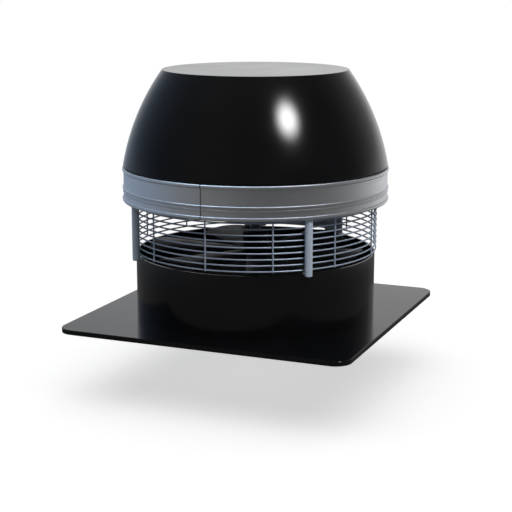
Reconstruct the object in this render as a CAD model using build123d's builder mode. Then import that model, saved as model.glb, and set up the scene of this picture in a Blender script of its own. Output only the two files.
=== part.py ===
from build123d import *
import os
from math import cos, radians, sin, sqrt

# Chimney draught fan: a square base plate with a round flue collar, and over it a fan head
# that tilts back on two rear hinges for sweeping. Millimetres, +Z up, the origin at the middle
# of the base plate's underside, the front of the fan towards -Y and its hinges towards +Y.

# Base plate and flue collar
plate_side = 480.0
plate_thickness = 7.5
plate_corner_radius = 26.0
plate_edge_round = 0.8
collar_radius = 195.5
collar_wall = 3.0
collar_height = 100.0
inlet_ledge = 7.5  # how far the plate's inlet hole stands inside the collar's bore

# Discharge gap and bird guard
discharge_gap = 86.5  # from the collar's rim up to the band
guard_wire = 2.5
guard_stand_out = 1.5  # centre line of the rings outside the collar
guard_rim_gap = 6.8  # centre line of the lowest ring above the rim
guard_ring_pitch = 9.3
guard_upright_count = 12
guard_weld_depth = 0.5
wire_sides = 6

# Support rods at the front
rod_diameter = 12.0
rod_angle = 45.5  # either side of the front
rod_guard_gap = 0.25
rod_below_rim = 2.0
rod_end_chamfer = 0.8
rod_foot_width = 10.0
rod_foot_thickness = 3.0

# Housing band
band_overhang = 20.5  # lips of the band outside the collar
band_height = 53.5
band_sheet = 2.0
band_lip_stand = 2.0
band_lip_height = 6.0
band_bead_stand = 1.8
band_bead_height = 4.0
band_bead_drop = 32.7  # from the band's top edge to the middle of the bead
band_ridge_stand = 1.0
band_ridge_height = 3.4
band_ridge_drop = 38.4
band_bottom_flange = 28.0
band_top_flange = 17.0
band_seam_width = 0.8
band_seam_depth = 0.8

# Hood
hood_setback = 1.6  # foot of the hood inside the band's lips
hood_height = 152.0
hood_top_radius = 149.5
hood_side_radius = 373.0
hood_sheet = 2.0
hood_flange = 17.0
hood_crease_round = 1.2
hood_gasket_thickness = 3.0
hood_gasket_setback = 3.0  # edge of the gasket inside the hood's foot

# Motor plate across the band
motor_plate_rise = 30.0
motor_plate_sheet = 3.0
motor_plate_rim = 14.0
motor_plate_opening = 45.0

# Motor
motor_frame_radius = 75.0
motor_flange_width = 20.0  # flange past the motor's frame
motor_flange_thickness = 8.0
motor_frame_wall = 5.0
motor_frame_length = 92.0
motor_fin_count = 24
motor_fin_height = 7.0
motor_fin_thickness = 3.0
motor_shield_thickness = 8.0
motor_spigot_depth = 5.0
motor_spigot_gap = 0.1
motor_bolt_count = 4
motor_bolt_phase = 45.0
motor_bolt_inset = 9.0  # bolt centres inside the flange's edge
motor_bolt_depth = 6.0
bearing_outer_radius = 20.0
bearing_width = 12.0
bearing_running_gap = 0.05
stator_length = 54.0
stator_bore_radius = 42.0
stator_tooth_count = 24
stator_slot_width = 5.0
stator_slot_depth = 15.0
winding_height = 14.0
winding_setback = 4.0
air_gap = 0.5

# Terminal box on the motor's side, with its gland
terminal_box_length = 62.0
terminal_box_width = 46.0
terminal_box_depth = 26.0
terminal_box_wall = 2.5
terminal_lid_thickness = 3.0
terminal_pad_margin = 6.0  # pad on the motor inside the box's outline
gland_radius = 8.0
gland_length = 14.0
gland_bore_radius = 4.5
gland_flange_gap = 1.0  # end of the gland above the motor's flange

# Impeller and shaft
blade_count = 6
blade_phase = 7.0
blade_tip_gap = 16.5
blade_sheet = 2.5
blade_tip_chord = 128.0
blade_tip_pitch = 19.0
blade_tip_camber = 9.0
blade_root_chord = 40.0
blade_root_pitch = 40.0
blade_root_camber = 4.0
blade_root_depth = 7.0  # how far the blades are cast into the hub
blade_plane_drop = 2.0  # middle of the blades under the collar's rim
hub_radius = 21.0
hub_above_blades = 32.0
hub_below_blades = 22.0
hub_edge_chamfer = 1.5
shaft_radius = 8.5
shaft_nose_radius = 7.0
shaft_nose_stop = 0.5  # end of the shaft inside the hub's end face
shaft_hole_gap = 1.0
shaft_end_gap = 0.5
key_width = 5.0
key_height = 5.0
key_length = 28.0
key_top_gap = 0.2
key_below_hub_top = 4.0
hub_bolt_radius = 4.0
hub_bolt_depth = 18.0
hub_washer_radius = 14.0
hub_washer_thickness = 3.0

# Rear hinges
bracket_sheet = 4.0
bracket_guard_gap = 0.75
bracket_half_angle = 28.3
bracket_notch_half_angle = 17.0
bracket_web_above_rim = 5.0
bracket_rim_gap = 1.0
hinge_pin_radius = 5.0
hinge_pin_gap = 0.05
hinge_bush_wall = 2.0
hinge_axis_out = 9.5  # pin axis outside the collar
hinge_axis_below_rim = 14.0
hinge_angle = 22.6  # middle of each leg, either side of the back
hinge_ear_thickness = 6.0
hinge_ear_radius = 11.0
hinge_side_gap = 0.5
hinge_cheek_thickness = 4.0
hinge_cheek_radius = 9.0
hinge_saddle_sheet = 4.0
hinge_saddle_height = 34.0
hinge_saddle_margin = 4.0
hinge_pin_head_radius = 8.0
hinge_pin_head_height = 3.0
hinge_clip_radius = 8.0
hinge_clip_thickness = 1.5
hinge_pin_tail = 2.0  # pin past its clip

# Fasteners
small_screw_radius = 2.5
large_screw_radius = 3.0
screw_head_height = 3.6
screw_head_ratio = 1.75  # corner radius of a hexagon head over the shank's radius
screw_hole_gap = 0.25
hood_screw_count = 6
rod_screw_depth = 12.0
thread_end_gap = 0.5
flange_edge_gap = 1.5

# Radii and levels that follow from these
collar_bore_radius = collar_radius - collar_wall
inlet_radius = collar_bore_radius - inlet_ledge
rim_level = plate_thickness + collar_height
band_bottom = rim_level + discharge_gap
band_top = band_bottom + band_height
band_middle = (band_bottom + band_top) / 2
hood_foot = band_top + hood_gasket_thickness
hood_top = hood_foot + hood_height
band_lip_radius = collar_radius + band_overhang
band_flat_radius = band_lip_radius - band_lip_stand
band_inner_radius = band_flat_radius - band_sheet
hood_base_radius = band_lip_radius - hood_setback
guard_radius = collar_radius + guard_stand_out
guard_low_level = rim_level + guard_rim_gap
guard_ring_count = int((band_bottom - guard_low_level - guard_wire) / guard_ring_pitch) + 1
upright_radius = guard_radius + guard_wire - guard_weld_depth
upright_foot = guard_low_level - guard_wire / 2
rod_place_radius = guard_radius + guard_wire / 2 + rod_guard_gap + rod_diameter / 2
bracket_outer_radius = guard_radius - guard_wire / 2 - bracket_guard_gap
bracket_inner_radius = bracket_outer_radius - bracket_sheet
motor_plate_bottom = band_bottom + motor_plate_rise
motor_plate_top = motor_plate_bottom + motor_plate_sheet
motor_flange_radius = motor_frame_radius + motor_flange_width
motor_bolt_circle = motor_flange_radius - motor_bolt_inset
motor_bore_radius = motor_frame_radius - motor_frame_wall
flange_top = motor_plate_top + motor_flange_thickness
frame_top = flange_top + motor_frame_length
frame_middle = (flange_top + frame_top) / 2
box_bottom = flange_top + gland_flange_gap + gland_length
box_middle = box_bottom + terminal_box_length / 2
low_bearing_level = flange_top + motor_spigot_depth - bearing_width
high_bearing_level = frame_top - motor_spigot_depth
fin_tip_radius = motor_frame_radius + motor_fin_height
blade_tip_radius = collar_bore_radius - blade_tip_gap
blade_level = rim_level - blade_plane_drop
hub_top = blade_level + hub_above_blades
hub_bottom = blade_level - hub_below_blades
key_bottom = hub_top - key_below_hub_top - key_length
hinge_y = collar_radius + hinge_axis_out
hinge_level = rim_level - hinge_axis_below_rim
hinge_x = (bracket_inner_radius + bracket_sheet / 2) * sin(radians(hinge_angle))
cheek_inner = hinge_ear_thickness / 2 + hinge_side_gap
cheek_outer = cheek_inner + hinge_cheek_thickness
bush_outer_radius = hinge_pin_radius + hinge_pin_gap + hinge_bush_wall
flange_screw_circle = band_inner_radius - flange_edge_gap - small_screw_radius * screw_head_ratio
sides = {"left": -1, "right": 1}


def on_circle(radius, angles):
    """Points on a circle about the fan's axis, at angles from +X in degrees."""
    return [(radius * cos(radians(a)), radius * sin(radians(a))) for a in angles]


def hex_screws(points, seat_level, shank_radius, shank_length, head_side):
    """Hexagon-headed screws that seat at one level, with heads up (1) or down (-1)."""
    with BuildPart() as screws:
        with BuildSketch(Plane.XY.offset(seat_level)):
            with Locations(points):
                RegularPolygon(shank_radius * screw_head_ratio, 6)
        extrude(amount=head_side * screw_head_height)
        with BuildSketch(Plane.XY.offset(seat_level)):
            with Locations(points):
                Circle(shank_radius)
        extrude(amount=-head_side * shank_length)
    return screws.part


def ring(level, height, outer_radius, inner_radius):
    """A plain ring about the fan's axis."""
    with BuildPart() as turned:
        with BuildSketch(Plane.XY.offset(level)):
            Circle(outer_radius)
            Circle(inner_radius, mode=Mode.SUBTRACT)
        extrude(amount=height)
    return turned.part


rod_turns = [-90 + side * rod_angle for side in sides.values()]
rod_points = on_circle(rod_place_radius, rod_turns)
hood_screw_points = on_circle(
    flange_screw_circle, [360 / hood_screw_count * step for step in range(hood_screw_count)]
)
motor_bolt_points = on_circle(
    motor_bolt_circle,
    [motor_bolt_phase + 360 / motor_bolt_count * step for step in range(motor_bolt_count)],
)
pieces = {}

# Base plate with the flue's inlet hole
with BuildPart() as base_plate:
    with BuildSketch():
        RectangleRounded(plate_side, plate_side, plate_corner_radius)
        Circle(inlet_radius, mode=Mode.SUBTRACT)
    extrude(amount=plate_thickness)
    top_face = base_plate.faces().sort_by(Axis.Z)[-1]
    fillet(top_face.outer_wire().edges(), plate_edge_round)
pieces["base_plate"] = base_plate.part

# Flue collar, welded on the plate
pieces["flue_collar"] = ring(plate_thickness, collar_height, collar_radius, collar_bore_radius)

# Bird guard: rings with uprights welded outside them, hung from the band's lower flange
with BuildPart() as bird_guard:
    with BuildSketch(Plane.XZ):
        with Locations([
            (guard_radius, guard_low_level + guard_ring_pitch * step)
            for step in range(guard_ring_count)
        ]):
            RegularPolygon(guard_wire / 2, wire_sides)
    revolve(axis=Axis.Z)
    with BuildSketch(Plane.XY.offset(upright_foot)):
        with PolarLocations(upright_radius, guard_upright_count):
            RegularPolygon(guard_wire / 2, wire_sides)
    extrude(amount=band_bottom - upright_foot)
pieces["bird_guard"] = bird_guard.part

# Support rods: round bar with a foot that rests on the collar's rim
for side, turn, point in zip(sides, rod_turns, rod_points):
    foot_length = rod_place_radius - collar_bore_radius
    with BuildPart() as support_rod:
        with BuildSketch(Plane.XY.offset(rim_level - rod_below_rim)):
            with Locations(point):
                Circle(rod_diameter / 2)
        extrude(amount=discharge_gap + rod_below_rim)
        chamfer(support_rod.edges().group_by(Axis.Z)[0], rod_end_chamfer)
        with BuildSketch(Plane.XY.offset(rim_level).rotated((0, 0, turn))):
            with Locations((collar_bore_radius, 0)):
                Rectangle(foot_length, rod_foot_width, align=(Align.MIN, Align.CENTER))
        extrude(amount=rod_foot_thickness)
        with Locations((*point, band_bottom)):
            Hole(large_screw_radius, rod_screw_depth)
    pieces[f"support_rod_{side}"] = support_rod.part

pieces["rod_screws"] = hex_screws(
    rod_points,
    band_bottom + band_sheet,
    large_screw_radius,
    band_sheet + rod_screw_depth - thread_end_gap,
    1,
)

# Housing band: rolled sheet with rounded lips, a bead and a ridge, and a butt seam at the front
with BuildPart() as housing_band:
    with BuildSketch(Plane.XZ):
        with Locations((band_flat_radius, band_bottom)):
            Rectangle(band_sheet, band_height, align=(Align.MAX, Align.MIN))
            Rectangle(band_bottom_flange, band_sheet, align=(Align.MAX, Align.MIN))
        with Locations((band_flat_radius, band_top)):
            Rectangle(band_top_flange, band_sheet, align=(Align.MAX, Align.MAX))
        with Locations(
            (band_flat_radius, band_bottom + band_lip_height / 2),
            (band_flat_radius, band_top - band_lip_height / 2),
        ):
            Ellipse(band_lip_stand, band_lip_height / 2)
        with Locations((band_flat_radius, band_top - band_bead_drop)):
            Ellipse(band_bead_stand, band_bead_height / 2)
        with Locations((band_flat_radius, band_top - band_ridge_drop)):
            Ellipse(band_ridge_stand, band_ridge_height / 2)
    revolve(axis=Axis.Z)
    with Locations((0, band_seam_depth - band_flat_radius, band_middle)):
        Box(
            band_seam_width,
            band_overhang,
            band_height,
            align=(Align.CENTER, Align.MAX, Align.CENTER),
            mode=Mode.SUBTRACT,
        )
    with Locations([(*point, band_bottom + band_sheet) for point in rod_points]):
        Hole(large_screw_radius + screw_hole_gap, band_sheet)
    with Locations([(*point, band_top) for point in hood_screw_points]):
        Hole(small_screw_radius + screw_hole_gap, band_sheet)
pieces["housing_band"] = housing_band.part

# Hood: one spun shell with a flat top and an in-turned foot
with BuildPart() as hood:
    with BuildSketch(Plane.XZ):
        with BuildLine():
            outer_foot = (hood_base_radius, hood_foot)
            outer_crease = (hood_top_radius, hood_top)
            inner_crease = (hood_top_radius - hood_sheet, hood_top - hood_sheet)
            inner_foot = (hood_base_radius - hood_sheet, hood_foot + hood_sheet)
            RadiusArc(outer_foot, outer_crease, -hood_side_radius)
            Polyline(outer_crease, (0, hood_top), (0, hood_top - hood_sheet), inner_crease)
            RadiusArc(inner_crease, inner_foot, hood_side_radius)
            Polyline(
                inner_foot,
                (hood_base_radius - hood_flange, hood_foot + hood_sheet),
                (hood_base_radius - hood_flange, hood_foot),
                outer_foot,
            )
        make_face()
    revolve(axis=Axis.Z)
    fillet(hood.faces().sort_by(Axis.Z)[-1].edges(), hood_crease_round)
    with Locations([(*point, hood_foot + hood_sheet) for point in hood_screw_points]):
        Hole(small_screw_radius + screw_hole_gap, hood_sheet)
pieces["hood"] = hood.part

# Gasket under the hood's foot, set back so that a dark line parts hood and band
with BuildPart() as hood_gasket:
    with BuildSketch(Plane.XY.offset(band_top)):
        Circle(hood_base_radius - hood_gasket_setback)
        Circle(hood_base_radius - hood_flange, mode=Mode.SUBTRACT)
        with Locations(hood_screw_points):
            Circle(small_screw_radius + screw_hole_gap, mode=Mode.SUBTRACT)
    extrude(amount=hood_gasket_thickness)
pieces["hood_gasket"] = hood_gasket.part

pieces["hood_screws"] = hex_screws(
    hood_screw_points,
    band_top - band_sheet,
    small_screw_radius,
    band_sheet + hood_gasket_thickness + hood_sheet + screw_head_height,
    -1,
)

# Nuts of the hood's screws, on its in-turned foot
with BuildPart() as hood_nuts:
    with BuildSketch(Plane.XY.offset(hood_foot + hood_sheet)):
        with Locations(hood_screw_points):
            RegularPolygon(small_screw_radius * screw_head_ratio, 6)
            Circle(small_screw_radius, mode=Mode.SUBTRACT)
    extrude(amount=screw_head_height)
pieces["hood_nuts"] = hood_nuts.part

# Motor plate: a pan across the band, which keeps flue gas out of the hood
with BuildPart() as motor_plate:
    with BuildSketch(Plane.XY.offset(motor_plate_bottom)):
        Circle(band_inner_radius)
    extrude(amount=motor_plate_rim)
    with BuildSketch(Plane.XY.offset(motor_plate_top)):
        Circle(band_inner_radius - motor_plate_sheet)
    extrude(amount=motor_plate_rim, mode=Mode.SUBTRACT)
    with Locations((0, 0, motor_plate_top)):
        Hole(motor_plate_opening, motor_plate_sheet)
    with Locations([(*point, motor_plate_top) for point in motor_bolt_points]):
        Hole(large_screw_radius + screw_hole_gap, motor_plate_sheet)
pieces["motor_plate"] = motor_plate.part

pieces["motor_bolts"] = hex_screws(
    motor_bolt_points,
    motor_plate_bottom,
    large_screw_radius,
    motor_plate_sheet + motor_bolt_depth - thread_end_gap,
    -1,
)

# Lower end shield: the motor's flange, with a spigot at each side and the lower bearing's seat
with BuildPart() as lower_end_shield:
    with BuildSketch(Plane.XY.offset(motor_plate_top)):
        Circle(motor_flange_radius)
    extrude(amount=motor_flange_thickness)
    with BuildSketch(Plane.XY.offset(motor_plate_bottom)):
        Circle(motor_plate_opening - motor_spigot_gap)
    extrude(amount=motor_plate_sheet)
    with BuildSketch(Plane.XY.offset(flange_top)):
        Circle(motor_bore_radius - motor_spigot_gap)
    extrude(amount=motor_spigot_depth)
    with Locations((0, 0, flange_top + motor_spigot_depth)):
        CounterBoreHole(
            shaft_radius + shaft_hole_gap,
            bearing_outer_radius,
            bearing_width,
            motor_spigot_depth + motor_flange_thickness + motor_plate_sheet,
        )
    with Locations(*[Plane((*point, motor_plate_top), z_dir=(0, 0, -1)) for point in motor_bolt_points]):
        Hole(large_screw_radius, motor_bolt_depth)
pieces["lower_end_shield"] = lower_end_shield.part

# Motor frame: a ribbed tube with a flat pad for the terminal box
with BuildPart() as motor_frame:
    with BuildSketch(Plane.XY.offset(flange_top)):
        Circle(motor_frame_radius)
        with PolarLocations(motor_bore_radius, motor_fin_count):
            Rectangle(
                fin_tip_radius - motor_bore_radius,
                motor_fin_thickness,
                align=(Align.MIN, Align.CENTER),
            )
    extrude(amount=motor_frame_length)
    with Locations((motor_bore_radius, 0, box_middle)):
        Box(
            fin_tip_radius - motor_bore_radius,
            terminal_box_width - 2 * terminal_pad_margin,
            terminal_box_length - 2 * terminal_pad_margin,
            align=(Align.MIN, Align.CENTER, Align.CENTER),
        )
    with BuildSketch(Plane.XY.offset(flange_top)):
        Circle(motor_bore_radius)
    extrude(amount=motor_frame_length, mode=Mode.SUBTRACT)
pieces["motor_frame"] = motor_frame.part

# Upper end shield, with the upper bearing's seat in its spigot
with BuildPart() as upper_end_shield:
    with BuildSketch(Plane.XY.offset(frame_top)):
        Circle(motor_frame_radius)
    extrude(amount=motor_shield_thickness)
    with BuildSketch(Plane.XY.offset(high_bearing_level)):
        Circle(motor_bore_radius - motor_spigot_gap)
    extrude(amount=motor_spigot_depth)
    with BuildSketch(Plane.XY.offset(high_bearing_level)):
        Circle(bearing_outer_radius)
    extrude(amount=bearing_width, mode=Mode.SUBTRACT)
pieces["upper_end_shield"] = upper_end_shield.part

bearing_bore = shaft_radius + bearing_running_gap
pieces["lower_bearing"] = ring(low_bearing_level, bearing_width, bearing_outer_radius, bearing_bore)
pieces["upper_bearing"] = ring(high_bearing_level, bearing_width, bearing_outer_radius, bearing_bore)

# Stator: slotted laminations, with an end winding at each side
stator_bottom = frame_middle - stator_length / 2
with BuildPart() as stator_core:
    with BuildSketch(Plane.XY.offset(stator_bottom)):
        Circle(motor_bore_radius)
        Circle(stator_bore_radius, mode=Mode.SUBTRACT)
        with PolarLocations(0, stator_tooth_count):
            Rectangle(
                stator_bore_radius + stator_slot_depth,
                stator_slot_width,
                align=(Align.MIN, Align.CENTER),
                mode=Mode.SUBTRACT,
            )
    extrude(amount=stator_length)
pieces["stator_core"] = stator_core.part

with BuildPart() as stator_windings:
    for level in (stator_bottom - winding_height, stator_bottom + stator_length):
        with BuildSketch(Plane.XY.offset(level)):
            Circle(motor_bore_radius - winding_setback)
            Circle(stator_bore_radius + winding_setback, mode=Mode.SUBTRACT)
        extrude(amount=winding_height)
pieces["stator_windings"] = stator_windings.part

# Terminal box with its lid and cable gland
box_foot = fin_tip_radius
lid_seat = box_foot + terminal_box_depth
with BuildPart() as terminal_box:
    with BuildSketch(Plane.YZ.offset(box_foot)):
        with Locations((0, box_middle)):
            Rectangle(terminal_box_width, terminal_box_length)
    extrude(amount=terminal_box_depth)
    offset(
        amount=-terminal_box_wall,
        openings=terminal_box.faces().sort_by(Axis.X)[-1],
    )
    gland_plane = Plane(
        (box_foot + terminal_box_depth / 2, 0, box_bottom),
        z_dir=(0, 0, -1),
    )
    with Locations(gland_plane):
        Hole(gland_bore_radius, terminal_box_wall)
pieces["terminal_box"] = terminal_box.part

with BuildPart() as terminal_lid:
    with BuildSketch(Plane.YZ.offset(lid_seat)):
        with Locations((0, box_middle)):
            Rectangle(terminal_box_width, terminal_box_length)
    extrude(amount=terminal_lid_thickness)
pieces["terminal_lid"] = terminal_lid.part

with BuildPart() as cable_gland:
    with BuildSketch(gland_plane):
        RegularPolygon(gland_radius, 6)
    extrude(amount=gland_length / 2)
    with BuildSketch(gland_plane):
        Circle(gland_radius * cos(radians(30)))
    extrude(amount=gland_length)
    with BuildSketch(gland_plane):
        Circle(gland_bore_radius)
    extrude(amount=gland_length, mode=Mode.SUBTRACT)
pieces["cable_gland"] = cable_gland.part

# Drive shaft, stepped down to a nose that carries the impeller
shaft_top = high_bearing_level + bearing_width - shaft_end_gap
shaft_end = hub_bottom + shaft_nose_stop
with BuildPart() as drive_shaft:
    with BuildSketch(Plane.XY.offset(hub_top)):
        Circle(shaft_radius)
    extrude(amount=shaft_top - hub_top)
    with BuildSketch(Plane.XY.offset(shaft_end)):
        Circle(shaft_nose_radius)
    extrude(amount=hub_top - shaft_end)
    with Locations(Plane((0, 0, shaft_end), z_dir=(0, 0, -1))):
        Hole(hub_bolt_radius, hub_bolt_depth)
    with Locations((shaft_nose_radius, 0, key_bottom)):
        Box(
            key_height,
            key_width,
            key_length,
            align=(Align.CENTER, Align.CENTER, Align.MIN),
            mode=Mode.SUBTRACT,
        )
pieces["drive_shaft"] = drive_shaft.part

with BuildPart() as drive_key:
    with Locations((shaft_nose_radius, 0, key_bottom)):
        Box(key_height, key_width, key_length, align=(Align.CENTER, Align.CENTER, Align.MIN))
pieces["drive_key"] = drive_key.part

rotor_radius = stator_bore_radius - air_gap
pieces["rotor_core"] = ring(stator_bottom, stator_length, rotor_radius, shaft_radius)

# One blade along +X: cambered sections lofted from the hub to past the tip, then turned to size.
# It falls towards the turning direction, so that the wheel drives the flue gas upwards.
blade_reach = blade_tip_radius + blade_tip_gap
with BuildPart() as blade:
    for radius, chord, pitch, camber in (
        (hub_radius - blade_root_depth, blade_root_chord, blade_root_pitch, blade_root_camber),
        (blade_reach, blade_tip_chord, blade_tip_pitch, blade_tip_camber),
    ):
        section_plane = Plane((radius, 0, blade_level), x_dir=(0, 1, 0), z_dir=(1, 0, 0))
        with BuildSketch(section_plane.rotated((0, 0, -pitch))):
            with BuildLine():
                ThreePointArc((-chord / 2, 0), (0, camber), (chord / 2, 0))
                Line((chord / 2, 0), (chord / 2, -blade_sheet))
                ThreePointArc(
                    (chord / 2, -blade_sheet),
                    (0, camber - blade_sheet),
                    (-chord / 2, -blade_sheet),
                )
                Line((-chord / 2, -blade_sheet), (-chord / 2, 0))
            make_face()
    loft(ruled=True)
    with Locations((0, 0, blade_level)):
        Cylinder(blade_tip_radius, blade_tip_chord, mode=Mode.INTERSECT)

# Impeller: hub and blades in one casting, keyed and bolted on the shaft
with BuildPart() as impeller:
    with BuildSketch(Plane.XY.offset(hub_bottom)):
        Circle(hub_radius)
    extrude(amount=hub_top - hub_bottom)
    chamfer(impeller.edges().filter_by(GeomType.CIRCLE), hub_edge_chamfer)
    with PolarLocations(0, blade_count, blade_phase):
        add(blade.part)
    with Locations((0, 0, hub_top)):
        Hole(shaft_nose_radius, hub_top - hub_bottom)
    with Locations((0, 0, key_bottom)):
        Box(
            shaft_nose_radius + key_height / 2 + key_top_gap,
            key_width,
            hub_top - key_bottom,
            align=(Align.MIN, Align.CENTER, Align.MIN),
            mode=Mode.SUBTRACT,
        )
pieces["impeller"] = impeller.part

pieces["hub_washer"] = ring(
    hub_bottom - hub_washer_thickness, hub_washer_thickness, hub_washer_radius, hub_bolt_radius
)
pieces["hub_bolt"] = hex_screws(
    [(0, 0)],
    hub_bottom - hub_washer_thickness,
    hub_bolt_radius,
    hub_washer_thickness + shaft_nose_stop + hub_bolt_depth - thread_end_gap,
    -1,
)

# Hinge bracket: a curved plate under the band and inside the guard, cut back between two legs.
# Each leg has a pin ear that passes out between the collar's rim and the guard's lowest ring.
leg_level = rim_level + bracket_rim_gap
ear_top = upright_foot - bracket_guard_gap
web_level = rim_level + bracket_web_above_rim
leg_middle_y = (bracket_inner_radius + bracket_sheet / 2) * cos(radians(hinge_angle))
ear_shoulder_y = sqrt((collar_radius + hinge_saddle_sheet) ** 2 - hinge_x**2) + hinge_side_gap
with BuildPart() as hinge_bracket:
    for half_angle, top, mode in (
        (bracket_half_angle, band_bottom, Mode.ADD),
        (bracket_notch_half_angle, web_level, Mode.SUBTRACT),
    ):
        with BuildSketch(Plane.XY.offset(leg_level)):
            Circle(bracket_outer_radius)
            Circle(bracket_inner_radius, mode=Mode.SUBTRACT)
            reach = 2 * bracket_outer_radius
            wedge_x = reach * sin(radians(half_angle))
            wedge_y = reach * cos(radians(half_angle))
            Polygon((0, 0), (wedge_x, wedge_y), (-wedge_x, wedge_y), align=None, mode=Mode.INTERSECT)
        extrude(amount=top - leg_level, mode=mode)
    for side in sides.values():
        with BuildSketch(Plane.YZ.offset(side * hinge_x)):
            with Locations((hinge_y, hinge_level)):
                Circle(hinge_ear_radius)
            with Locations((ear_shoulder_y, leg_level)):
                Rectangle(hinge_y - ear_shoulder_y, ear_top - leg_level, align=(Align.MIN, Align.MIN))
            make_hull()
            with Locations((leg_middle_y, leg_level)):
                Rectangle(hinge_y - leg_middle_y, ear_top - leg_level, align=(Align.MIN, Align.MIN))
            with Locations((hinge_y, hinge_level)):
                Circle(bush_outer_radius, mode=Mode.SUBTRACT)
        extrude(amount=hinge_ear_thickness / 2, both=True)
pieces["hinge_bracket"] = hinge_bracket.part

# Bushes in the ears, which turn on the hinge pins
with BuildPart() as hinge_bushes:
    for side in sides.values():
        with BuildSketch(Plane.YZ.offset(side * hinge_x)):
            with Locations((hinge_y, hinge_level)):
                Circle(bush_outer_radius)
                Circle(hinge_pin_radius + hinge_pin_gap, mode=Mode.SUBTRACT)
        extrude(amount=hinge_ear_thickness / 2, both=True)
pieces["hinge_bushes"] = hinge_bushes.part

# Hinge lugs on the collar: a curved saddle with two cheeks round each ear
saddle_top = hinge_level + hinge_cheek_radius
saddle_bottom = saddle_top - hinge_saddle_height
saddle_half_width = cheek_outer + hinge_saddle_margin
saddle_edge_y = sqrt(collar_radius**2 - (hinge_x + saddle_half_width) ** 2)
lug_foot_y = saddle_edge_y - hinge_saddle_sheet  # inside the collar, then cut to its curve
with BuildPart() as hinge_lug_left:
    with BuildSketch(Plane.XY.offset(saddle_bottom)):
        Circle(collar_radius + hinge_saddle_sheet)
        with Locations((-hinge_x, lug_foot_y)):
            Rectangle(
                2 * saddle_half_width,
                collar_radius,
                align=(Align.CENTER, Align.MIN),
                mode=Mode.INTERSECT,
            )
    extrude(amount=hinge_saddle_height)
    for cheek_start in (cheek_inner, -cheek_outer):
        with BuildSketch(Plane.YZ.offset(cheek_start - hinge_x)):
            with Locations((hinge_y, hinge_level)):
                Circle(hinge_cheek_radius)
            with Locations((lug_foot_y, saddle_bottom)):
                Rectangle(hinge_saddle_sheet, hinge_saddle_height, align=(Align.MIN, Align.MIN))
            make_hull()
            with Locations((hinge_y, hinge_level)):
                Circle(hinge_pin_radius, mode=Mode.SUBTRACT)
        extrude(amount=hinge_cheek_thickness)
    with BuildSketch(Plane.XY.offset(saddle_bottom)):
        Circle(collar_radius)
    extrude(amount=hinge_saddle_height, mode=Mode.SUBTRACT)
pieces["hinge_lug_left"] = hinge_lug_left.part

with BuildPart() as hinge_lug_right:
    mirror(hinge_lug_left.part, about=Plane.YZ)
pieces["hinge_lug_right"] = hinge_lug_right.part

# Hinge pins, each with its head outwards and held by a clip at its inner end
for name, side in sides.items():
    pin_end = cheek_outer + hinge_clip_thickness + hinge_pin_tail
    with BuildPart() as hinge_pin:
        with BuildSketch(Plane.YZ.offset(side * (hinge_x - pin_end))):
            with Locations((hinge_y, hinge_level)):
                Circle(hinge_pin_radius)
        extrude(amount=side * (pin_end + cheek_outer))
        with BuildSketch(Plane.YZ.offset(side * (hinge_x + cheek_outer))):
            with Locations((hinge_y, hinge_level)):
                Circle(hinge_pin_head_radius)
        extrude(amount=side * hinge_pin_head_height)
    pieces[f"hinge_pin_{name}"] = hinge_pin.part

with BuildPart() as hinge_clips:
    for side in sides.values():
        with BuildSketch(Plane.YZ.offset(side * (hinge_x - cheek_outer))):
            with Locations((hinge_y, hinge_level)):
                Circle(hinge_clip_radius)
                Circle(hinge_pin_radius, mode=Mode.SUBTRACT)
        extrude(amount=-side * hinge_clip_thickness)
pieces["hinge_clips"] = hinge_clips.part

os.makedirs("parts", exist_ok=True)
for name, piece in pieces.items():
    piece.label = name
    export_step(piece, f"parts/{name}.step")
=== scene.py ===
import math
import bpy
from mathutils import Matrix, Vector


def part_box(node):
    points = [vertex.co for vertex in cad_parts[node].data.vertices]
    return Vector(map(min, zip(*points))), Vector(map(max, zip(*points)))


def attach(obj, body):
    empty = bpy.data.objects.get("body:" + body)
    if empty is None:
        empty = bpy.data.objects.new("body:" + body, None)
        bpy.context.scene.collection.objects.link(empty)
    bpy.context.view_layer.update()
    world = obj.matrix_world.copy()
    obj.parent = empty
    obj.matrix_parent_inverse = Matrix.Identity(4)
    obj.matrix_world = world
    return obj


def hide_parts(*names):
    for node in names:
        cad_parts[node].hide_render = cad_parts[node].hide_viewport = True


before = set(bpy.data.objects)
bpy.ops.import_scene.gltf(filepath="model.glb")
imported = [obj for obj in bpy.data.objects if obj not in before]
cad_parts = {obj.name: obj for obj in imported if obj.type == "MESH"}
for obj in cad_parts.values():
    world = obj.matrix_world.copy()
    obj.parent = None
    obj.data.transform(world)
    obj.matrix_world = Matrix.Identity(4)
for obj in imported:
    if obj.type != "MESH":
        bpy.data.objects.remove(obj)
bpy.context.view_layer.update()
scene = bpy.context.scene
print("frame loaded:", len(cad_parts), "nodes")


def linear(hexText):
    # sRGB hex to the linear values that shaders take
    channels = [int(hexText[i:i + 2], 16) / 255 for i in (1, 3, 5)]
    return tuple(c / 12.92 if c <= 0.04045 else ((c + 0.055) / 1.055) ** 2.4 for c in channels)


def colour(hexText):
    return (*linear(hexText), 1.0)


def grey(value):
    return (value, value, value, 1.0)


def perMetre(millimetres):
    # texture scale that gives one feature for each so many millimetres, on Object coordinates
    return 1000 / millimetres


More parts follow.
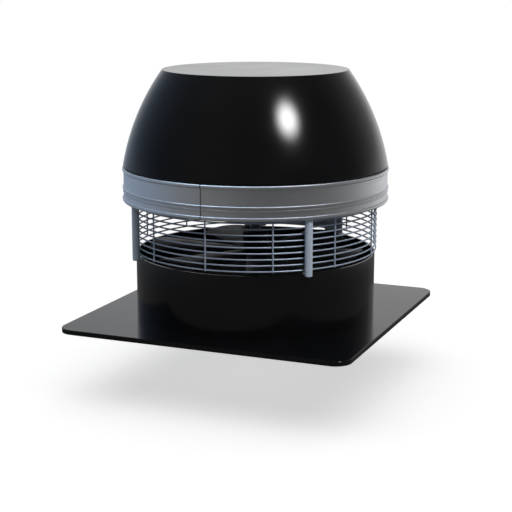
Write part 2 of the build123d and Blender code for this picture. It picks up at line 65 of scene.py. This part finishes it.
def addNode(tree, kind, links=None, stops=(), **settings):
    # one node with its settings; links maps an input's name or number to a socket or a value,
    # and stops are the places and colours of a ramp
    node = tree.nodes.new(kind)
    for key, value in settings.items():
        setattr(node, key, value)
    for key, value in (links or {}).items():
        if isinstance(value, bpy.types.NodeSocket):
            tree.links.new(value, node.inputs[key])
        else:
            node.inputs[key].default_value = value
    places = list(stops)
    if places:
        elements = node.color_ramp.elements
        while len(elements) < len(places):
            elements.new(0.5)
        for element, (place, value) in zip(elements, places):
            element.position = place
            element.color = value
    return node


def newMaterial(name):
    material = bpy.data.materials.new(name)
    material.use_nodes = True
    material.node_tree.nodes.clear()
    return material, material.node_tree


# camera, at the photo's own place: found by fitting the plate, collar, band and hood outlines
viewpoint = {
    "azimuth": 22.485,  # degrees from the front (-Y) towards +X
    "distance": 2.1369,
    "height": 0.5714,
    "pitchDown": 12.558,
    "yaw": -0.022,
    "sensor": 36.0,
    "lens": 93.29,  # mm on that sensor, for a square picture
}


def makeCamera():
    side = math.radians(viewpoint["azimuth"])
    aim = math.radians(viewpoint["azimuth"] + viewpoint["yaw"])
    down = math.radians(viewpoint["pitchDown"])
    reach = viewpoint["distance"]
    data = bpy.data.cameras.new("photoCamera")
    data.sensor_fit = "HORIZONTAL"
    data.sensor_width = viewpoint["sensor"]
    data.lens = viewpoint["lens"]
    camera = bpy.data.objects.new("photoCamera", data)
    scene.collection.objects.link(camera)
    ahead = Vector((-math.sin(aim) * math.cos(down), math.cos(aim) * math.cos(down), -math.sin(down)))
    camera.location = (reach * math.sin(side), -reach * math.cos(side), viewpoint["height"])
    camera.rotation_mode = "QUATERNION"
    camera.rotation_quaternion = ahead.to_track_quat("-Z", "Y")
    scene.camera = camera


makeCamera()
print("camera set")


# most of a noise texture's values lie between these two
noiseSpan = {"From Min": 0.3, "From Max": 0.7}

# black polyester powder coat, sprayed and baked: deep black, glossy, with a faint orange-peel ripple
coat = {
    "black": "#060708",
    "dust": "#0C0D10",
    "dustSpan": (0.35, 0.75),  # cloud values where the dust begins and where it is full
    "roughness": (0.13, 0.18),
    "cloud": 90.0,  # mm, slow change in gloss
    "ripple": 6.0,  # mm between ripples; the real 1 to 2 mm is too fine to show, so it is drawn coarser
    "rippleHeight": 0.006,  # mm
    "relief": 0.12,
    "ior": 1.5,
}


def powderCoatBlack():
    material, tree = newMaterial("powderCoatBlack")
    place = addNode(tree, "ShaderNodeTexCoord").outputs["Object"]
    ripple = addNode(tree, "ShaderNodeTexNoise", {
        "Vector": place, "Scale": perMetre(coat["ripple"]), "Detail": 2.0,
    })
    cloud = addNode(tree, "ShaderNodeTexNoise", {
        "Vector": place, "Scale": perMetre(coat["cloud"]), "Detail": 4.0,
    })
    tones = (colour(coat["black"]), colour(coat["dust"]))
    tone = addNode(tree, "ShaderNodeValToRGB", {"Fac": cloud.outputs["Fac"]}, zip(coat["dustSpan"], tones))
    gloss = addNode(tree, "ShaderNodeMapRange", {
        "Value": cloud.outputs["Fac"], **noiseSpan,
        "To Min": coat["roughness"][0], "To Max": coat["roughness"][1],
    })
    bump = addNode(tree, "ShaderNodeBump", {
        "Height": ripple.outputs["Fac"], "Strength": coat["relief"], "Distance": coat["rippleHeight"] / 1000,
    })
    shader = addNode(tree, "ShaderNodeBsdfPrincipled", {
        "Base Color": tone.outputs["Color"], "Roughness": gloss.outputs["Result"],
        "Normal": bump.outputs["Normal"], "IOR": coat["ior"],
    })
    addNode(tree, "ShaderNodeOutputMaterial", {"Surface": shader.outputs["BSDF"]})
    return material


# rolled aluminium sheet: satin, with fine lines running round the band from the rollers
rolled = {
    "bright": "#F2F4F7",
    "dull": "#E4E7EB",
    "toneSpan": (0.12, 0.4),  # lines times stain, from dull to bright
    "metallic": 0.95,  # the dull oxide skin scatters a little of the light
    "roughness": (0.38, 0.49),
    "line": 0.9,  # mm between rolling lines, drawn coarser than real so that they show
    "lineHeight": 0.02,  # mm
    "relief": 0.15,
    "streak": 60.0,  # mm along a line before it fades
    "stain": 70.0,
    "seam": 1.3,  # mm, the dark joint line at the front
    "seamTone": "#2B2C2E",
}


def rolledAluminium():
    material, tree = newMaterial("rolledAluminium")
    place = addNode(tree, "ShaderNodeTexCoord").outputs["Object"]
    along = perMetre(rolled["streak"])
    stretched = addNode(tree, "ShaderNodeMapping", {
        "Vector": place, "Scale": (along, along, perMetre(rolled["line"])),
    })
    lines = addNode(tree, "ShaderNodeTexNoise", {
        "Vector": stretched.outputs["Vector"], "Scale": 1.0, "Detail": 3.0, "Roughness": 0.6,
    })
    stain = addNode(tree, "ShaderNodeTexNoise", {
        "Vector": place, "Scale": perMetre(rolled["stain"]), "Detail": 3.0,
    })
    mixed = addNode(tree, "ShaderNodeMath", {
        0: lines.outputs["Fac"], 1: stain.outputs["Fac"],
    }, operation="MULTIPLY")
    tones = (colour(rolled["dull"]), colour(rolled["bright"]))
    sheet = addNode(tree, "ShaderNodeValToRGB", {"Fac": mixed.outputs[0]}, zip(rolled["toneSpan"], tones))
    # the seam: a narrow strip either side of X = 0, on the front half only
    axes = addNode(tree, "ShaderNodeSeparateXYZ", {"Vector": place})
    aside = addNode(tree, "ShaderNodeMath", {0: axes.outputs["X"]}, operation="ABSOLUTE")
    narrow = addNode(tree, "ShaderNodeMath", {
        0: aside.outputs[0], 1: rolled["seam"] / 2000,
    }, operation="LESS_THAN")
    front = addNode(tree, "ShaderNodeMath", {0: axes.outputs["Y"], 1: 0.0}, operation="LESS_THAN")
    joint = addNode(tree, "ShaderNodeMath", {0: narrow.outputs[0], 1: front.outputs[0]}, operation="MULTIPLY")
    tone = addNode(tree, "ShaderNodeMix", {
        0: joint.outputs[0], 6: sheet.outputs["Color"], 7: colour(rolled["seamTone"]),
    }, data_type="RGBA")
    gloss = addNode(tree, "ShaderNodeMapRange", {
        "Value": lines.outputs["Fac"], **noiseSpan,
        "To Min": rolled["roughness"][0], "To Max": rolled["roughness"][1],
    })
    bump = addNode(tree, "ShaderNodeBump", {
        "Height": lines.outputs["Fac"], "Strength": rolled["relief"], "Distance": rolled["lineHeight"] / 1000,
    })
    shader = addNode(tree, "ShaderNodeBsdfPrincipled", {
        "Base Color": tone.outputs[2], "Metallic": rolled["metallic"],
        "Roughness": gloss.outputs["Result"], "Normal": bump.outputs["Normal"],
    })
    addNode(tree, "ShaderNodeOutputMaterial", {"Surface": shader.outputs["BSDF"]})
    return material


# drawn stainless steel, pulled through a die and pickled: grey, with drawing lines along its length
# and a matt bloom that scatters part of the light; the blue in its tones is painted reflection of a cool sky
drawn = {
    # the blue tint in these tones is painted reflection of a cool sky, on top of the steel's own grey
    "wire": {"bright": "#C8D6E8", "dull": "#ACBCD0", "metallic": 0.65, "roughness": (0.44, 0.58)},
    "bar": {"bright": "#E0EEFF", "dull": "#CEDFF2", "metallic": 0.4, "roughness": (0.39, 0.53)},
    "toneSpan": (0.3, 0.7),
    "grain": 1.2,  # mm between drawing lines across a bar
    "grainHeight": 0.04,  # mm
    "relief": 0.2,
    "reach": 40.0,  # mm along a line
}


def drawnStainless(name, stock):
    look = drawn[stock]
    material, tree = newMaterial(name)
    place = addNode(tree, "ShaderNodeTexCoord").outputs["Object"]
    fine = perMetre(drawn["grain"])
    slow = perMetre(drawn["reach"])
    scale = (fine, fine, slow) if stock == "bar" else (slow, slow, fine)
    stretched = addNode(tree, "ShaderNodeMapping", {"Vector": place, "Scale": scale})
    lines = addNode(tree, "ShaderNodeTexNoise", {
        "Vector": stretched.outputs["Vector"], "Scale": 1.0, "Detail": 2.0,
    })
    tones = (colour(look["dull"]), colour(look["bright"]))
    tone = addNode(tree, "ShaderNodeValToRGB", {"Fac": lines.outputs["Fac"]}, zip(drawn["toneSpan"], tones))
    gloss = addNode(tree, "ShaderNodeMapRange", {
        "Value": lines.outputs["Fac"], **noiseSpan,
        "To Min": look["roughness"][0], "To Max": look["roughness"][1],
    })
    bump = addNode(tree, "ShaderNodeBump", {
        "Height": lines.outputs["Fac"], "Strength": drawn["relief"], "Distance": drawn["grainHeight"] / 1000,
    })
    shader = addNode(tree, "ShaderNodeBsdfPrincipled", {
        "Base Color": tone.outputs["Color"], "Metallic": look["metallic"],
        "Roughness": gloss.outputs["Result"], "Normal": bump.outputs["Normal"],
    })
    addNode(tree, "ShaderNodeOutputMaterial", {"Surface": shader.outputs["BSDF"]})
    return material


# hot-dip galvanised steel sheet: grey zinc in flat crystals that catch the light one by one
galvanised = {
    "light": "#F2F6FA",
    "dark": "#D4DCE4",
    "metallic": 0.35,  # weathered zinc scatters part of the light
    "roughness": (0.42, 0.6),
    "spangle": 9.0,  # mm across a zinc crystal
}


def galvanisedSteel():
    material, tree = newMaterial("galvanisedSteel")
    place = addNode(tree, "ShaderNodeTexCoord").outputs["Object"]
    crystals = addNode(tree, "ShaderNodeTexVoronoi", {
        "Vector": place, "Scale": perMetre(galvanised["spangle"]),
    })
    shade = addNode(tree, "ShaderNodeSeparateColor", {"Color": crystals.outputs["Color"]})
    tone = addNode(tree, "ShaderNodeValToRGB", {"Fac": shade.outputs[0]}, [
        (0.0, colour(galvanised["dark"])), (1.0, colour(galvanised["light"])),
    ])
    gloss = addNode(tree, "ShaderNodeMapRange", {
        "Value": shade.outputs[1], "To Min": galvanised["roughness"][0], "To Max": galvanised["roughness"][1],
    })
    shader = addNode(tree, "ShaderNodeBsdfPrincipled", {
        "Base Color": tone.outputs["Color"], "Metallic": galvanised["metallic"],
        "Roughness": gloss.outputs["Result"],
    })
    addNode(tree, "ShaderNodeOutputMaterial", {"Surface": shader.outputs["BSDF"]})
    return material


# cast aluminium, as it leaves the mould: dull warm grey, finely pitted, a little sooty in the flow
cast = {
    "clean": "#403D3A",
    "sooty": "#1B1A19",
    "sootSpan": (0.35, 0.65),
    "roughness": (0.6, 0.45),  # sooty, clean
    "soot": 45.0,  # mm across a sooty patch
    "pit": 2.5,  # mm between pits
    "pitDepth": 0.15,  # mm
    "relief": 0.4,
}


def castAluminium():
    material, tree = newMaterial("castAluminium")
    place = addNode(tree, "ShaderNodeTexCoord").outputs["Object"]
    pits = addNode(tree, "ShaderNodeTexNoise", {
        "Vector": place, "Scale": perMetre(cast["pit"]), "Detail": 3.0,
    })
    soot = addNode(tree, "ShaderNodeTexNoise", {
        "Vector": place, "Scale": perMetre(cast["soot"]), "Detail": 5.0,
    })
    tones = (colour(cast["sooty"]), colour(cast["clean"]))
    tone = addNode(tree, "ShaderNodeValToRGB", {"Fac": soot.outputs["Fac"]}, zip(cast["sootSpan"], tones))
    gloss = addNode(tree, "ShaderNodeMapRange", {
        "Value": soot.outputs["Fac"], **noiseSpan,
        "To Min": cast["roughness"][0], "To Max": cast["roughness"][1],
    })
    bump = addNode(tree, "ShaderNodeBump", {
        "Height": pits.outputs["Fac"], "Strength": cast["relief"], "Distance": cast["pitDepth"] / 1000,
    })
    shader = addNode(tree, "ShaderNodeBsdfPrincipled", {
        "Base Color": tone.outputs["Color"], "Metallic": 1.0,
        "Roughness": gloss.outputs["Result"], "Normal": bump.outputs["Normal"],
    })
    addNode(tree, "ShaderNodeOutputMaterial", {"Surface": shader.outputs["BSDF"]})
    return material


# small pieces that share one plain build: a base tone with slow cloud, its gloss, and a fine grain
plainFinishes = {
    "zincPlatedSteel": {  # bright plated screws, pins and rings: pale, slightly yellow, clean
        "light": "#C9C8C2", "dark": "#A3A29C", "metallic": 1.0,
        "roughness": (0.24, 0.38), "cloud": 12.0, "grain": 0.8,
    },
    "oiledSteel": {  # turned shaft under a film of old oil: dark grey, half bright
        "light": "#6B6F74", "dark": "#4C5054", "metallic": 1.0,
        "roughness": (0.36, 0.5), "cloud": 14.0, "grain": 0.8,
    },
    "stackedLaminations": {  # blued electrical steel sheets, pressed in a stack: dark with a dull sheen
        "light": "#55575C", "dark": "#3B3C41", "metallic": 1.0,
        "roughness": (0.49, 0.63), "cloud": 15.0, "grain": 0.5,
    },
    "varnishedCopper": {  # wound and dipped copper wire: reddish brown under amber varnish
        "light": "#B8734A", "dark": "#8A4A2C", "metallic": 1.0,
        "roughness": (0.34, 0.48), "cloud": 6.0, "grain": 1.0,
    },
    "turnedBronze": {  # sintered bronze bush: brown gold, oily
        "light": "#B08A4E", "dark": "#866434", "metallic": 1.0,
        "roughness": (0.32, 0.46), "cloud": 8.0, "grain": 0.6,
    },
    "mouldedPolyamide": {  # black moulded nylon: satin, faintly textured by its mould
        "light": "#1E1E20", "dark": "#141416", "metallic": 0.0,
        "roughness": (0.44, 0.58), "cloud": 10.0, "grain": 0.7,
    },
}
plainBuild = {
    "toneSpan": (0.3, 0.7),
    "grainHeight": 0.04,  # mm
    "relief": 0.2,
}


def plainFinish(name):
    look = plainFinishes[name]
    material, tree = newMaterial(name)
    place = addNode(tree, "ShaderNodeTexCoord").outputs["Object"]
    cloud = addNode(tree, "ShaderNodeTexNoise", {
        "Vector": place, "Scale": perMetre(look["cloud"]), "Detail": 3.0,
    })
    grain = addNode(tree, "ShaderNodeTexNoise", {
        "Vector": place, "Scale": perMetre(look["grain"]), "Detail": 2.0,
    })
    tones = (colour(look["dark"]), colour(look["light"]))
    tone = addNode(tree, "ShaderNodeValToRGB", {
        "Fac": cloud.outputs["Fac"],
    }, zip(plainBuild["toneSpan"], tones))
    gloss = addNode(tree, "ShaderNodeMapRange", {
        "Value": grain.outputs["Fac"], **noiseSpan,
        "To Min": look["roughness"][0], "To Max": look["roughness"][1],
    })
    bump = addNode(tree, "ShaderNodeBump", {
        "Height": grain.outputs["Fac"], "Strength": plainBuild["relief"],
        "Distance": plainBuild["grainHeight"] / 1000,
    })
    shader = addNode(tree, "ShaderNodeBsdfPrincipled", {
        "Base Color": tone.outputs["Color"], "Metallic": look["metallic"],
        "Roughness": gloss.outputs["Result"], "Normal": bump.outputs["Normal"],
    })
    addNode(tree, "ShaderNodeOutputMaterial", {"Surface": shader.outputs["BSDF"]})
    return material


finishes = {
    "coat": powderCoatBlack(),
    "band": rolledAluminium(),
    "wire": drawnStainless("drawnStainlessWire", "wire"),
    "rod": drawnStainless("drawnStainlessBar", "bar"),
    "sheet": galvanisedSteel(),
    "cast": castAluminium(),
}
for plainName in plainFinishes:
    finishes[plainName] = plainFinish(plainName)
print("finishes made:", len(finishes))

# which finish each solid wears
wornBy = {
    "coat": ["base_plate", "flue_collar", "hood", "hinge_lug_left", "hinge_lug_right"],
    "band": ["housing_band"],
    "rod": ["support_rod_left", "support_rod_right"],
    "sheet": ["motor_plate", "hinge_bracket"],
    "cast": [
        "impeller", "lower_end_shield", "motor_frame", "upper_end_shield", "terminal_box", "terminal_lid",
    ],
    "zincPlatedSteel": [
        "rod_screws", "hood_screws", "hood_nuts", "motor_bolts", "hub_bolt", "hub_washer", "drive_key",
        "hinge_pin_left", "hinge_pin_right", "hinge_clips", "lower_bearing", "upper_bearing",
    ],
    "oiledSteel": ["drive_shaft"],
    "stackedLaminations": ["stator_core", "rotor_core"],
    "varnishedCopper": ["stator_windings"],
    "turnedBronze": ["hinge_bushes"],
    "mouldedPolyamide": ["cable_gland", "hood_gasket"],
}
for finish, names in wornBy.items():
    for name in names:
        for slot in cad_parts[name].material_slots:
            slot.material = finishes[finish]
print("solids dressed")


def newTree(name, inputs):
    # a Geometry Nodes tree with named inputs and one geometry output
    tree = bpy.data.node_groups.new(name, "GeometryNodeTree")
    for label, kind in inputs:
        tree.interface.new_socket(label, in_out="INPUT", socket_type=kind)
    tree.interface.new_socket("Geometry", in_out="OUTPUT", socket_type="NodeSocketGeometry")
    return tree, tree.nodes.new("NodeGroupInput").outputs, tree.nodes.new("NodeGroupOutput").inputs


def growTree(name, tree, values):
    # runs a tree once on an empty object and keeps the result as a plain mesh at the origin
    host = bpy.data.objects.new(name + "Host", bpy.data.meshes.new(name + "Host"))
    scene.collection.objects.link(host)
    modifier = host.modifiers.new("grow", "NODES")
    modifier.node_group = tree
    for item in tree.interface.items_tree:
        if item.in_out == "INPUT":
            modifier[item.identifier] = values[item.name]
    grown = host.evaluated_get(bpy.context.evaluated_depsgraph_get())
    mesh = bpy.data.meshes.new_from_object(grown)
    host.modifiers.remove(modifier)
    bpy.data.objects.remove(host)
    mesh.name = name
    piece = bpy.data.objects.new(name, mesh)
    scene.collection.objects.link(piece)
    return piece


# bird guard: welded rings of round wire, with uprights outside them and a weld at each crossing
guardLow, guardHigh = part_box("bird_guard")
guard = {
    "Wire Radius": 0.00125,
    "Weld Depth": 0.0005,
    "Ring Pitch": 0.0093,
    "Ring Count": 9,
    "Upright Count": 12,
    "Wire Sides": 14,
    "Ring Steps": 192,
}
guard["Upright Radius"] = guardHigh.x - guard["Wire Radius"]
guard["Ring Radius"] = guard["Upright Radius"] - 2 * guard["Wire Radius"] + guard["Weld Depth"]
guard["Foot"] = guardLow.z
guard["Head"] = guardHigh.z


def guardTree():
    tree, given, result = newTree("birdGuard", [
        ("Ring Radius", "NodeSocketFloat"),
        ("Ring Pitch", "NodeSocketFloat"),
        ("Ring Count", "NodeSocketInt"),
        ("Upright Radius", "NodeSocketFloat"),
        ("Upright Count", "NodeSocketInt"),
        ("Wire Radius", "NodeSocketFloat"),
        ("Foot", "NodeSocketFloat"),
        ("Head", "NodeSocketFloat"),
        ("Wire Sides", "NodeSocketInt"),
        ("Ring Steps", "NodeSocketInt"),
    ])
    section = addNode(tree, "GeometryNodeCurvePrimitiveCircle", {
        "Resolution": given["Wire Sides"], "Radius": given["Wire Radius"],
    }, mode="RADIUS")
    # rings, one above the other
    hoop = addNode(tree, "GeometryNodeCurvePrimitiveCircle", {
        "Resolution": given["Ring Steps"], "Radius": given["Ring Radius"],
    }, mode="RADIUS")
    hoopWire = addNode(tree, "GeometryNodeCurveToMesh", {
        "Curve": hoop.outputs["Curve"], "Profile Curve": section.outputs["Curve"],
    })
    lowest = addNode(tree, "ShaderNodeMath", {0: given["Foot"], 1: given["Wire Radius"]}, operation="ADD")
    start = addNode(tree, "ShaderNodeCombineXYZ", {"Z": lowest.outputs[0]})
    step = addNode(tree, "ShaderNodeCombineXYZ", {"Z": given["Ring Pitch"]})
    stack = addNode(tree, "GeometryNodeMeshLine", {
        "Count": given["Ring Count"], "Start Location": start.outputs[0], "Offset": step.outputs[0],
    })
    rings = addNode(tree, "GeometryNodeInstanceOnPoints", {
        "Points": stack.outputs["Mesh"], "Instance": hoopWire.outputs["Mesh"],
    })
    # uprights, at even turns from the front
    foot = addNode(tree, "ShaderNodeCombineXYZ", {"Z": given["Foot"]})
    head = addNode(tree, "ShaderNodeCombineXYZ", {"Z": given["Head"]})
    stem = addNode(tree, "GeometryNodeCurvePrimitiveLine", {
        "Start": foot.outputs[0], "End": head.outputs[0],
    })
    stemWire = addNode(tree, "GeometryNodeCurveToMesh", {
        "Curve": stem.outputs["Curve"], "Profile Curve": section.outputs["Curve"], "Fill Caps": True,
    })
    turns = addNode(tree, "GeometryNodeMeshCircle", {
        "Vertices": given["Upright Count"], "Radius": given["Upright Radius"],
    })
    uprights = addNode(tree, "GeometryNodeInstanceOnPoints", {
        "Points": turns.outputs["Mesh"], "Instance": stemWire.outputs["Mesh"],
    })
    # a small weld between each ring and upright
    between = addNode(tree, "ShaderNodeMath", {
        0: given["Ring Radius"], 1: given["Upright Radius"],
    }, operation="ADD")
    middle = addNode(tree, "ShaderNodeMath", {0: between.outputs[0], 1: 0.5}, operation="MULTIPLY")
    bead = addNode(tree, "GeometryNodeMeshIcoSphere", {"Radius": given["Wire Radius"], "Subdivisions": 2})
    beadTurns = addNode(tree, "GeometryNodeMeshCircle", {
        "Vertices": given["Upright Count"], "Radius": middle.outputs[0],
    })
    beadRow = addNode(tree, "GeometryNodeInstanceOnPoints", {
        "Points": beadTurns.outputs["Mesh"], "Instance": bead.outputs["Mesh"],
    })
    beads = addNode(tree, "GeometryNodeInstanceOnPoints", {
        "Points": stack.outputs["Mesh"], "Instance": beadRow.outputs["Instances"],
    })
    joined = addNode(tree, "GeometryNodeJoinGeometry")
    for part in (rings, uprights, beads):
        tree.links.new(part.outputs["Instances"], joined.inputs[0])
    real = addNode(tree, "GeometryNodeRealizeInstances", {"Geometry": joined.outputs[0]})
    smooth = addNode(tree, "GeometryNodeSetShadeSmooth", {"Geometry": real.outputs[0]})
    worn = addNode(tree, "GeometryNodeSetMaterial", {
        "Geometry": smooth.outputs[0], "Material": finishes["wire"],
    })
    tree.links.new(worn.outputs[0], result["Geometry"])
    return tree


guardPiece = growTree("birdGuardWire", guardTree(), guard)
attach(guardPiece, "fan_head")
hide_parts("bird_guard")
print("bird guard grown:", len(guardPiece.data.polygons), "faces")


def seenRays(tree, mirrored):
    # 1 for the rays that show the background: straight from the camera and through glass, and in metal
    # as much of it as mirrored says
    rays = addNode(tree, "ShaderNodeLightPath").outputs
    mirror = addNode(tree, "ShaderNodeMath", {0: rays["Is Glossy Ray"], 1: mirrored}, operation="MULTIPLY")
    straight = addNode(tree, "ShaderNodeMath", {
        0: rays["Is Camera Ray"], 1: rays["Is Transmission Ray"],
    }, operation="ADD")
    return addNode(tree, "ShaderNodeMath", {
        0: straight.outputs[0], 1: mirror.outputs[0],
    }, operation="ADD", use_clamp=True).outputs[0]


# pale studio floor, a little below the plate so that the shadow falls clear of it as in the photo
floor = {
    "drop": 0.108,
    "reach": 1.1,
    "rimSteps": 120,
    "white": "#E6E6E6",
    "bounce": "#6B6B6B",  # what the fan's own surfaces see of it: the photo's floor sends little light up
    "mirrored": 0.02,  # how much of that white the fan mirrors: its collar stays dark in the photo
    "glow": 0.6,  # plain white added to the shading that the camera sees, never more than 1
}


def makeFloor():
    mesh = bpy.data.meshes.new("studioFloor")
    turns = [2 * math.pi * step / floor["rimSteps"] for step in range(floor["rimSteps"])]
    rim = [(floor["reach"] * math.cos(a), floor["reach"] * math.sin(a), -floor["drop"]) for a in turns]
    mesh.from_pydata(rim, [], [list(range(len(rim)))])
    ground = bpy.data.objects.new("studioFloor", mesh)
    scene.collection.objects.link(ground)
    material, tree = newMaterial("paleStudioFloor")
    seen = seenRays(tree, floor["mirrored"])
    tone = addNode(tree, "ShaderNodeValToRGB", {"Fac": seen}, [
        (0.0, colour(floor["bounce"])), (1.0, colour(floor["white"])),
    ])
    lift = addNode(tree, "ShaderNodeMath", {0: seen, 1: floor["glow"]}, operation="MULTIPLY")
    paper = addNode(tree, "ShaderNodeBsdfDiffuse", {"Color": tone.outputs["Color"]})
    glow = addNode(tree, "ShaderNodeEmission", {"Color": grey(1.0), "Strength": lift.outputs[0]})
    both = addNode(tree, "ShaderNodeAddShader", {0: paper.outputs[0], 1: glow.outputs[0]})
    addNode(tree, "ShaderNodeOutputMaterial", {"Surface": both.outputs[0]})
    mesh.materials.append(material)
    return ground


ground = makeFloor()

# world: soft light, dim at the camera's side, cool at the left and behind it, and weaker at the right
studio = {
    "plain": "#FFFDFA",
    "cool": "#CBE1FF",
    "coolAt": -125.0,  # degrees from the camera, turning right, to the middle of the cool light
    "coolSpan": (0.3, 0.9),  # cosines from that middle, from plain to cool
    "rightShare": 0.58,  # strength at the right, as a share of that at the left
    "sideSpan": 0.7,  # sine either side of the camera within which it changes
    "above": (0.11, 0.14, 0.36),  # strength at the camera's side, at both sides and behind, above the horizon
    "below": (0.1, 0.42, 0.5),  # the same below it
    "horizon": (-0.15, 0.1),  # sines of height between which below turns to above
}
panels = {
    # where each white stands, in degrees from the camera turning right, how closely it gathers there,
    # and the share of white that metal mirrors above and below the horizon
    "backdrop": {"at": 176.0, "gather": 8.0, "above": 0.85, "below": 0.25},
    "reflector": {"at": 140.0, "gather": 6.0, "above": 0.25, "below": 0.95},
}


def fromCamera(degrees):
    # level direction at so many degrees from the camera, turning right
    turn = math.radians(viewpoint["azimuth"] + degrees)
    return (math.sin(turn), -math.cos(turn), 0)


def makeWorld():
    world = bpy.data.worlds.new("studioWorld")
    scene.world = world
    world.use_nodes = True
    tree = world.node_tree
    tree.nodes.clear()
    heading = addNode(tree, "ShaderNodeTexCoord").outputs["Generated"]
    height = addNode(tree, "ShaderNodeSeparateXYZ", {"Vector": heading}).outputs["Z"]
    horizon = {"Value": height, "From Min": studio["horizon"][0], "From Max": studio["horizon"][1]}
    # soft light all round
    depth = addNode(tree, "ShaderNodeVectorMath", {0: heading, 1: fromCamera(180)}, operation="DOT_PRODUCT")
    span = addNode(tree, "ShaderNodeMapRange", {"Value": depth.outputs["Value"], "From Min": -1.0})
    below, above = [
        addNode(tree, "ShaderNodeValToRGB", {"Fac": span.outputs["Result"]}, [
            (0.5 * i, grey(value)) for i, value in enumerate(studio[ring])
        ])
        for ring in ("below", "above")
    ]
    level = addNode(tree, "ShaderNodeMapRange", {
        **horizon, "To Min": below.outputs["Color"], "To Max": above.outputs["Color"],
    })
    across = addNode(tree, "ShaderNodeVectorMath", {0: heading, 1: fromCamera(90)}, operation="DOT_PRODUCT")
    sided = addNode(tree, "ShaderNodeMapRange", {
        "Value": across.outputs["Value"], "From Min": -studio["sideSpan"], "From Max": studio["sideSpan"],
        "To Min": 1.0, "To Max": studio["rightShare"],
    })
    strength = addNode(tree, "ShaderNodeMath", {
        0: level.outputs["Result"], 1: sided.outputs["Result"],
    }, operation="MULTIPLY")
    toCool = addNode(tree, "ShaderNodeVectorMath", {
        0: heading, 1: fromCamera(studio["coolAt"]),
    }, operation="DOT_PRODUCT")
    hues = (colour(studio["plain"]), colour(studio["cool"]))
    hue = addNode(tree, "ShaderNodeValToRGB", {
        "Fac": toCool.outputs["Value"],
    }, zip(studio["coolSpan"], hues))
    lit = addNode(tree, "ShaderNodeBackground", {
        "Color": hue.outputs["Color"], "Strength": strength.outputs[0],
    })
    # white on every side for the camera, and in metal where its panels stand
    share = 0.0
    for panel in panels.values():
        toward = addNode(tree, "ShaderNodeVectorMath", {
            0: heading, 1: fromCamera(panel["at"]),
        }, operation="DOT_PRODUCT")
        facing = addNode(tree, "ShaderNodeMath", {0: toward.outputs["Value"], 1: 0.0}, operation="MAXIMUM")
        gathered = addNode(tree, "ShaderNodeMath", {
            0: facing.outputs[0], 1: panel["gather"],
        }, operation="POWER")
        whiteness = addNode(tree, "ShaderNodeMapRange", {
            **horizon, "To Min": panel["below"], "To Max": panel["above"],
        })
        share = addNode(tree, "ShaderNodeMath", {
            0: gathered.outputs[0], 1: whiteness.outputs["Result"], 2: share,
        }, operation="MULTIPLY_ADD").outputs[0]
    white = addNode(tree, "ShaderNodeBackground", {"Color": grey(1.0), "Strength": 1.0})
    both = addNode(tree, "ShaderNodeMixShader", {
        0: seenRays(tree, share), 1: lit.outputs[0], 2: white.outputs[0],
    })
    addNode(tree, "ShaderNodeOutputWorld", {"Surface": both.outputs[0]})


makeWorld()

lamps = {
    # direction as azimuth from the front and elevation, then distance and size in metres
    "keyLamp": {
        "azimuth": 57.0, "elevation": 39.5, "distance": 2.5, "size": 1.1, "watts": 112, "tint": "#FFFFFF",
    },
    "skyLamp": {
        "azimuth": 22.5, "elevation": 88.0, "distance": 3.0, "size": 7.0, "watts": 106, "tint": "#FFFFFF",
    },
    "leftLamp": {
        "azimuth": -67.5, "elevation": 72.0, "distance": 3.0, "size": 2.2, "watts": 56, "tint": "#C8E2FF",
    },
    "rightLamp": {
        "azimuth": 88.0, "elevation": 70.0, "distance": 3.0, "size": 1.6, "watts": 26, "tint": "#E8F1FF",
    },
}
lampAim = Vector((0, 0, 0.3))


def makeLamp(name, look):
    data = bpy.data.lights.new(name, "AREA")
    data.shape = "DISK"
    data.size = look["size"]
    data.energy = look["watts"]
    data.color = linear(look["tint"])
    lamp = bpy.data.objects.new(name, data)
    scene.collection.objects.link(lamp)
    side = math.radians(look["azimuth"])
    rise = math.radians(look["elevation"])
    away = Vector((math.sin(side) * math.cos(rise), -math.cos(side) * math.cos(rise), math.sin(rise)))
    lamp.location = lampAim + away * look["distance"]
    lamp.rotation_mode = "QUATERNION"
    lamp.rotation_quaternion = (-away).to_track_quat("-Z", "Y")
    return lamp


def softenLamp(lamp):
    # a cloth-fronted lamp: bright in the middle and fading to its rim, for a soft-edged highlight
    lamp.data.use_nodes = True
    tree = lamp.data.node_tree
    tree.nodes.clear()
    spot = addNode(tree, "ShaderNodeNewGeometry").outputs["Parametric"]
    fromMiddle = addNode(tree, "ShaderNodeVectorMath", {0: spot, 1: (0.5, 0.5, 0.0)}, operation="DISTANCE")
    fade = addNode(tree, "ShaderNodeMapRange", {
        "Value": fromMiddle.outputs["Value"], "From Max": 0.5, "To Min": 1.0, "To Max": 0.0,
    }, interpolation_type="SMOOTHSTEP")
    shine = addNode(tree, "ShaderNodeEmission", {"Strength": fade.outputs["Result"]})
    addNode(tree, "ShaderNodeOutputLight", {"Surface": shine.outputs["Emission"]})


keyLamp, skyLamp, leftLamp, rightLamp = [makeLamp(name, look) for name, look in lamps.items()]
softenLamp(keyLamp)
skyLamp.visible_glossy = False  # wide cloth overhead, which the photo's hood doesn't mirror
# the key is flagged off the floor, so that the fan's only shadow is the soft one from above,
# and off the band, where the photo shows no glare
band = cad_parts["housing_band"]
flag = bpy.data.collections.new("keyFlag")
for flagged in (ground, band):
    flag.objects.link(flagged)
for linked in flag.collection_objects:
    linked.light_linking.link_state = "EXCLUDE"
keyLamp.light_linking.receiver_collection = flag
# two small lamps draw the light line along the band's lip and bead, and light nothing else
lined = bpy.data.collections.new("lineLampsOnly")
lined.objects.link(band)
for lamp in (leftLamp, rightLamp):
    lamp.light_linking.receiver_collection = lined
scene.view_settings.view_transform = "Standard"
print("floor, world and lamps set")
